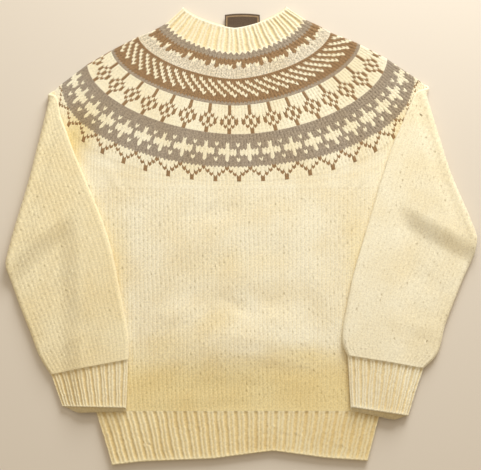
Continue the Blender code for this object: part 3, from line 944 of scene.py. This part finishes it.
def yarn(name, colour, heather, fuzz, hollow):
    """Makes a wool yarn's material: its colour varies in flecks and soft patches, takes painted shade
    in the hollows between stitches and inside the wall, and broad painted warm shade where its
    points ask for it, and fine fibres break its surface. On the label the hollow tint is the ground's colour."""
    made = bpy.data.materials.new(name)
    made.use_nodes = True
    nodes, links = made.node_tree.nodes, made.node_tree.links
    shader = nodes["Principled BSDF"]
    place = nodes.new("ShaderNodeTexCoord").outputs["Object"]

    def noise(scale, detail, roughness):
        node = nodes.new("ShaderNodeTexNoise")
        node.inputs["Scale"].default_value = scale
        node.inputs["Detail"].default_value = detail
        node.inputs["Roughness"].default_value = roughness
        links.new(place, node.inputs["Vector"])
        return node.outputs["Fac"]

    def ramp(value, low, high, dark, light):
        node = nodes.new("ShaderNodeValToRGB")
        node.color_ramp.elements[0].position = low
        node.color_ramp.elements[1].position = high
        node.color_ramp.elements[0].color = (*dark, 1)
        node.color_ramp.elements[1].color = (*light, 1)
        links.new(value, node.inputs["Fac"])
        return node.outputs["Color"]

    def times(one, other):
        node = nodes.new("ShaderNodeMix")
        node.data_type = "RGBA"
        node.blend_type = "MULTIPLY"
        node.inputs["Factor"].default_value = 1.0
        links.new(one, node.inputs["A"])
        links.new(other, node.inputs["B"])
        return node.outputs["Result"]

    base = np.array(colour)
    dark, light = base * (1 - heather), np.minimum(base * (1 + heather), 1)
    flecks = ramp(noise(*FLECKS), 0.38, 0.62, dark, light)
    patches = ramp(noise(*PATCHES), 0.35, 0.65, PATCH_TINT, (1, 1, 1))
    sunk, painted_shade_node = (nodes.new("ShaderNodeAttribute") for _ in range(2))
    sunk.attribute_name = "hollow"
    painted_shade_node.attribute_name = "painted_shade"
    # Painted shade: the hollow tint darkens the hollows between stitches and the inside of the wall, and the
    # next tint adds the broad painted warm shade
    shade = ramp(sunk.outputs["Fac"], 0.25, 0.95, (1, 1, 1), hollow)
    painted_shade_colour = ramp(painted_shade_node.outputs["Fac"], 0.0, 1.0, (1, 1, 1), PAINTED_SHADE_TINT)
    links.new(times(times(times(flecks, patches), shade), painted_shade_colour), shader.inputs["Base Color"])
    normal = None
    for scale, distance in FIBRES:
        bump = nodes.new("ShaderNodeBump")
        bump.inputs["Strength"].default_value = fuzz
        bump.inputs["Distance"].default_value = distance
        links.new(noise(scale, 3, 0.65), bump.inputs["Height"])
        if normal is not None:
            links.new(normal, bump.inputs["Normal"])
        normal = bump.outputs["Normal"]
    links.new(normal, shader.inputs["Normal"])
    shader.inputs["Roughness"].default_value = 0.95
    shader.inputs["Specular IOR Level"].default_value = 0.15
    shader.inputs["Sheen Weight"].default_value = 0.3
    shader.inputs["Sheen Roughness"].default_value = 0.6


def colour_property(name, description, default):
    """A colour that the user can pick."""
    return bpy.props.FloatVectorProperty(
        name=name, description=description, subtype="COLOR", size=3, min=0.0, max=1.0, default=default
    )


class PulloverWools(bpy.types.PropertyGroup):
    """Yarn colours and how lively each is."""

    cream: colour_property("Cream", "Yarn of the body, sleeves and ribs", (0.91, 0.83, 0.62))
    brown: colour_property("Brown", "Yarn of the slanting stripes, lozenges and points", (0.31, 0.185, 0.082))
    taupe: colour_property("Taupe", "Heathered yarn behind the crosses", (0.365, 0.295, 0.215))
    oatmeal: colour_property("Oatmeal", "Heathered yarn of the plain upper band", (0.72, 0.64, 0.49))
    label: colour_property("Label", "Ground of the woven label", (0.085, 0.05, 0.026))
    border: colour_property("Label border", "Thread of the label's border", (0.33, 0.22, 0.11))
    heather: bpy.props.FloatProperty(
        name="Heather", description="How much light and dark fibres show", default=0.14, min=0, max=0.5
    )
    fuzz: bpy.props.FloatProperty(
        name="Fuzz", description="Strength of the fine fibre relief", default=0.5, min=0, max=1
    )


class PulloverStitches(bpy.types.PropertyGroup):
    """How deep the knitting is."""

    stitch_depth: bpy.props.FloatProperty(
        name="Stitch depth", description="Scale of the grooves round each stitch", default=1.0, min=0, max=1.4
    )
    rib_depth: bpy.props.FloatProperty(
        name="Rib depth", description="Scale of the hollows between ribs", default=1.0, min=0, max=1.2
    )


class PulloverStage(bpy.types.PropertyGroup):
    """Camera and light."""

    focal: bpy.props.FloatProperty(
        name="Lens", description="Focal length on a 36 mm wide frame", default=60.0, unit="CAMERA"
    )
    tilt: bpy.props.FloatProperty(
        name="Tilt",
        description="How far the camera leans from straight down",
        default=math.radians(12.1),
        subtype="ANGLE",
    )
    height: bpy.props.FloatProperty(
        name="Camera height", description="Height over the surface", default=1.183, unit="LENGTH"
    )
    key: bpy.props.FloatProperty(
        name="Key light",
        description="Power of the large soft light past the neck",
        default=53.0,
        unit="POWER",
    )


class PULLOVER_OT_yoke(bpy.types.Operator):
    """Knits the patterned yoke in its four bands"""

    bl_idname = "pullover.yoke"
    bl_label = "Knit yoke"

    def execute(self, context):
        shell = Shell()
        tube, skins = yoke_skins(context.scene.pullover_stitches.stitch_depth)
        loops = []
        for skin, (stitches, start, figure, _, chart) in zip(skins, YOKE_BANDS):
            tints = charted(chart, start, stitches, figure)
            # Each band takes broad painted warm shade
            painted_shade_amount = painted_shade(skin.points)
            loops.append(shell.skin(skin.points, tints, skin.sunk / MOST_SUNK, painted_shade_amount=painted_shade_amount))
        for (_, last), (first, _), (_, _, _, last_yarn, _) in zip(loops, loops[1:], YOKE_BANDS):
            shell.close(last, first, False, YARNS.index(last_yarn))
        inner_skin(shell, tube, INNER_ROWS["yoke"], loops[0][0], loops[-1][1])
        yarns = [f"{name}_yarn" for name in YARN_LOOKS]
        shell.piece("yoke_knit", "yoke", (1.2, 0.45), 0.30, "laid", yarns, "yoke_wool")
        return {"FINISHED"}


class PULLOVER_OT_body(bpy.types.Operator):
    """Knits the plain body tube and its ribbed hem"""

    bl_idname = "pullover.body"
    bl_label = "Knit body"

    def execute(self, context):
        depths = context.scene.pullover_stitches
        tube, body = body_skin(depths.stitch_depth)
        # The body and its hem take broad painted warm shade, the hem a share of it
        shell = plain_tube(tube, body, INNER_ROWS["body"], painted_shade(body.points))
        shell.piece("body_knit", "body", (0.90, 0.335), None, "laid")
        tube = Tube(rows_between(body_path(1.0), hem_edge(), HEM_ROWS), flat_heights(LAYER))
        hem = ribbed_skin(tube, HEM_RIBS, HEM_ROWS, SEEDS["hem"], depths.rib_depth)
        hem.meet(body, -1, hem.around[0])
        painted_shade_amount = PAINTED_SHADE_RIBS * painted_shade(hem.points)
        shell = plain_tube(tube, hem, INNER_ROWS["rib"], painted_shade_amount, cast_off=True)
        shell.piece("hem_knit", "hem_rib", (0.84, 0.075), None, "laid")
        return {"FINISHED"}


class PULLOVER_OT_sleeves(bpy.types.Operator):
    """Knits both folded sleeves and their cuffs"""

    bl_idname = "pullover.sleeves"
    bl_label = "Knit sleeves"

    def execute(self, context):
        depths = context.scene.pullover_stitches
        depth = depths.stitch_depth * SLEEVE_DEPTH
        for number, (side, draft) in enumerate(SLEEVES.items()):
            sleeve = Sleeve(*draft)
            tube = Tube(sleeve.rows(), sleeve.heights, sleeve=sleeve)
            seed, joined = SEEDS["sleeve"] + number, (False, True)
            plain = Skin(tube, SLEEVE_STITCHES, SLEEVE_ROWS, STITCH_WALK, seed, depth, joined)
            # Each sleeve takes an even painted warm shade, the left one more, and its cuff a share of it
            shell = plain_tube(tube, plain, INNER_ROWS["sleeve"], PAINTED_SHADE_SLEEVES[side])
            shell.piece(f"sleeve_{side}_knit", f"sleeve_{side}", (0.36, 0.46), 0.118, "folded")
            fronts, backs = sleeve.cuff_rows()
            tube = Tube(fronts, flat_heights(LAYER), back=backs, sleeve=sleeve, turned_over=True)
            cuff = ribbed_skin(tube, CUFF_RIBS, CUFF_ROWS, SEEDS["cuff"] + number, depths.rib_depth)
            cuff.meet(plain, -1, 1 - cuff.around[0])
            painted_shade_amount = PAINTED_SHADE_RIBS * PAINTED_SHADE_SLEEVES[side]
            shell = plain_tube(tube, cuff, INNER_ROWS["rib"], painted_shade_amount, cast_off=True)
            shell.piece(f"cuff_{side}_knit", f"cuff_{side}", (0.23, 0.078), None, "folded")
        return {"FINISHED"}


class PULLOVER_OT_neck(bpy.types.Operator):
    """Knits the ribbed neckband on to the yoke"""

    bl_idname = "pullover.neck"
    bl_label = "Knit neckband"

    def execute(self, context):
        fronts = rows_between(yoke_ring(0), arc(*BAND_TOP), BAND_ROWS)
        backs = [path + (0.0, BAND_RISE * k / 2 / BAND_ROWS) for k, path in enumerate(fronts)]
        tube = Tube(
            fronts, flat_heights(NECK_LAYER), back=backs, wider=(YOKE_WIDER_MIDDLE, YOKE_WIDER_MIDDLE)
        )
        depths = context.scene.pullover_stitches
        band = ribbed_skin(tube, BAND_RIBS, BAND_ROWS, SEEDS["neck"], depths.rib_depth, -RIB_BITE)
        band.meet(yoke_skins(depths.stitch_depth)[1][0], 0, band.around[0])
        shell = plain_tube(tube, band, INNER_ROWS["rib"], 0.0, cast_off=True)
        shell.piece("neckband_knit", "neckband", (0.50, 0.045), None, "laid")
        return {"FINISHED"}


class PULLOVER_OT_label(bpy.types.Operator):
    """Weaves the bare neck label with its plain border"""

    bl_idname = "pullover.label"
    bl_label = "Weave label"

    def execute(self, context):
        wide, tall = LABEL_RIGHT - LABEL_LEFT, LABEL_TOP - LABEL_BOTTOM
        ends, picks = np.arange(2 * LABEL_ENDS) / 2 / LABEL_ENDS, np.linspace(0, 1, LABEL_PICKS)
        around, down = np.meshgrid(ends, picks)
        t = np.linspace(0, 1, DENSE)
        x = LABEL_LEFT + wide * t
        top = np.column_stack([x, LABEL_TOP + LABEL_ARCH * 4 * t * (1 - t)])
        foot = np.column_stack([x, np.full(DENSE, LABEL_BOTTOM)])
        tube = Tube(rows_between(top, foot, 4), label_heights)
        across = np.abs((around * 2) % 1.0 - 0.5) * wide
        high = (0.5 - down) * tall
        from_edge = np.minimum(wide / 2 - across, tall / 2 - high)
        border = (from_edge > BORDER_INSET) & (from_edge < BORDER_INSET + BORDER_WIDTH)
        pick, end = np.indices(around.shape)
        woven = (pick + end) % 2
        shell = Shell()
        lift = BORDER_RAISED * border + WEAVE_RAISED * woven
        ground = np.where(border, 0.25 * woven, 0.85 + 0.15 * woven)
        first, last = shell.skin(tube.points(around, down, lift), 0, ground)
        shell.pinch(first, False)
        shell.pinch(last, True)
        ribbon = ["label_ribbon"]
        shell.piece("label_woven", "neck_label", (0.056, 0.039), None, "laid", ribbon, "label_cloth")
        return {"FINISHED"}


class PULLOVER_OT_stage(bpy.types.Operator):
    """Lays the floor and sets the light and the camera"""

    bl_idname = "pullover.stage"
    bl_label = "Set stage"

    def execute(self, context):
        stage = context.scene.pullover_stage
        mesh = bpy.data.meshes.new("floor")
        corners = [(x * FLOOR_REACH, y * FLOOR_REACH, 0) for x, y in ((-1, -1), (1, -1), (1, 1), (-1, 1))]
        mesh.from_pydata(corners, [], [(0, 1, 2, 3)])
        floor = bpy.data.objects.new("floor", mesh)
        floor.location.z = -FLOOR_DROP
        paint = bpy.data.materials.new("floor_paint")
        paint.use_nodes = True
        shader = paint.node_tree.nodes["Principled BSDF"]
        shader.inputs["Base Color"].default_value = FLOOR_COLOUR
        shader.inputs["Roughness"].default_value = 0.8
        mesh.materials.append(paint)
        context.scene.collection.objects.link(floor)

        lens = bpy.data.cameras.new("camera")
        lens.lens = stage.focal
        lens.sensor_width = SENSOR_WIDTH
        camera = bpy.data.objects.new("camera", lens)
        camera.location = (-MIDDLE[0] * MM, (CAMERA_Y - MIDDLE[1]) * MM, stage.height)
        camera.rotation_euler = (stage.tilt, 0, 0)
        context.scene.collection.objects.link(camera)
        context.scene.camera = camera

        for name, place, size, share in LIGHTS:
            light = bpy.data.lights.new(name, "AREA")
            light.color = LIGHT_COLOUR
            light.size = size
            light.energy = stage.key * share
            lamp = bpy.data.objects.new(name, light)
            lamp.location = place
            lamp.rotation_euler = (-Vector(place)).to_track_quat("-Z", "Y").to_euler()
            context.scene.collection.objects.link(lamp)
        world = bpy.data.worlds.new("studio")
        world.use_nodes = True
        sky = world.node_tree.nodes["Background"]
        sky.inputs["Color"].default_value = WORLD_COLOUR
        sky.inputs["Strength"].default_value = WORLD_STRENGTH
        context.scene.world = world
        context.scene.view_settings.view_transform = "Standard"
        return {"FINISHED"}


class PULLOVER_OT_wools(bpy.types.Operator):
    """Spins the yarns that the other steps knit with"""

    bl_idname = "pullover.wools"
    bl_label = "Spin yarns"

    def execute(self, context):
        wools = context.scene.pullover_wools
        for name, (share, hollow) in YARN_LOOKS.items():
            yarn(f"{name}_yarn", getattr(wools, name), wools.heather * share, wools.fuzz, hollow)
        ground = [dark / light for dark, light in zip(wools.label, wools.border)]
        yarn("label_ribbon", wools.border, wools.heather, wools.fuzz, ground)
        return {"FINISHED"}


class PULLOVER_PT_panel(bpy.types.Panel):
    """Steps that knit the pullover, in order"""

    bl_label = "Round yoke pullover"
    bl_idname = "PULLOVER_PT_panel"
    bl_space_type = "VIEW_3D"
    bl_region_type = "UI"
    bl_category = "Pullover"

    def draw(self, context):
        for name in GROUPS:
            group = getattr(context.scene, name)
            for key in group.bl_rna.properties.keys():
                if key not in ("rna_type", "name"):
                    self.layout.prop(group, key)
        for step in STEPS:
            self.layout.operator(step.bl_idname)


STEPS = (
    PULLOVER_OT_wools,
    PULLOVER_OT_stage,
    PULLOVER_OT_body,
    PULLOVER_OT_yoke,
    PULLOVER_OT_neck,
    PULLOVER_OT_label,
    PULLOVER_OT_sleeves,
)
GROUPS = {
    "pullover_wools": PulloverWools,
    "pullover_stitches": PulloverStitches,
    "pullover_stage": PulloverStage,
}


def register():
    """Adds the settings, steps and panel."""
    for group in GROUPS.values():
        bpy.utils.register_class(group)
    for step in STEPS:
        bpy.utils.register_class(step)
    bpy.utils.register_class(PULLOVER_PT_panel)
    for key, group in GROUPS.items():
        setattr(bpy.types.Scene, key, bpy.props.PointerProperty(type=group))


def unregister():
    """Takes them away again."""
    for key in GROUPS:
        delattr(bpy.types.Scene, key)
    bpy.utils.unregister_class(PULLOVER_PT_panel)
    for step in reversed(STEPS):
        bpy.utils.unregister_class(step)
    for group in GROUPS.values():
        bpy.utils.unregister_class(group)


def main():
    """Knits the pullover."""
    register()
    bpy.ops.pullover.wools()
    bpy.ops.pullover.stage()
    bpy.ops.pullover.body()
    bpy.ops.pullover.yoke()
    bpy.ops.pullover.neck()
    bpy.ops.pullover.label()
    bpy.ops.pullover.sleeves()


if __name__ == "__main__":
    main()
